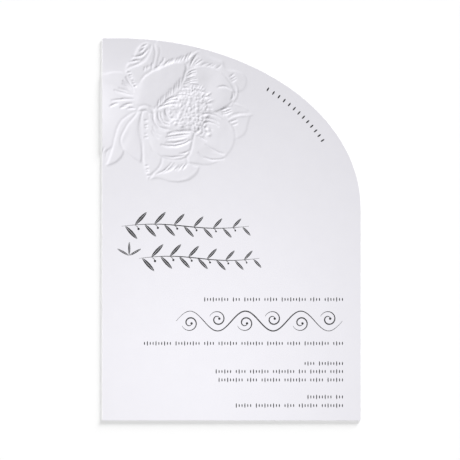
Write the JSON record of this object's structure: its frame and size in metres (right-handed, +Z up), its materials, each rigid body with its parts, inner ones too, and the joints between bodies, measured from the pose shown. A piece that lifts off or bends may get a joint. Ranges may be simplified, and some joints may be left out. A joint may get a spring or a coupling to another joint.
{
  "type": "wedding invitation card",
  "caption": "Flat one-piece paper invitation card with an elliptical arch cut down one side, square lower corners and a large blind-embossed peony that runs off its left edge.",
  "frame": {"origin": "middle of the outline's bounding box, on the flat back face that it lies on", "axes": "+X to the card's right edge, +Y to its arched top edge, +Z up out of the printed face"},
  "size_m": [0.135, 0.2, 0.0016],
  "materials": {
    "paper": "smooth uncoated cotton board, matt white with a faint cool tint",
    "ink": "matt dark grey print on the board's face"
  },
  "bodies": {
    "root": {"invitation_card": "paper"}
  },
  "joints": []
}
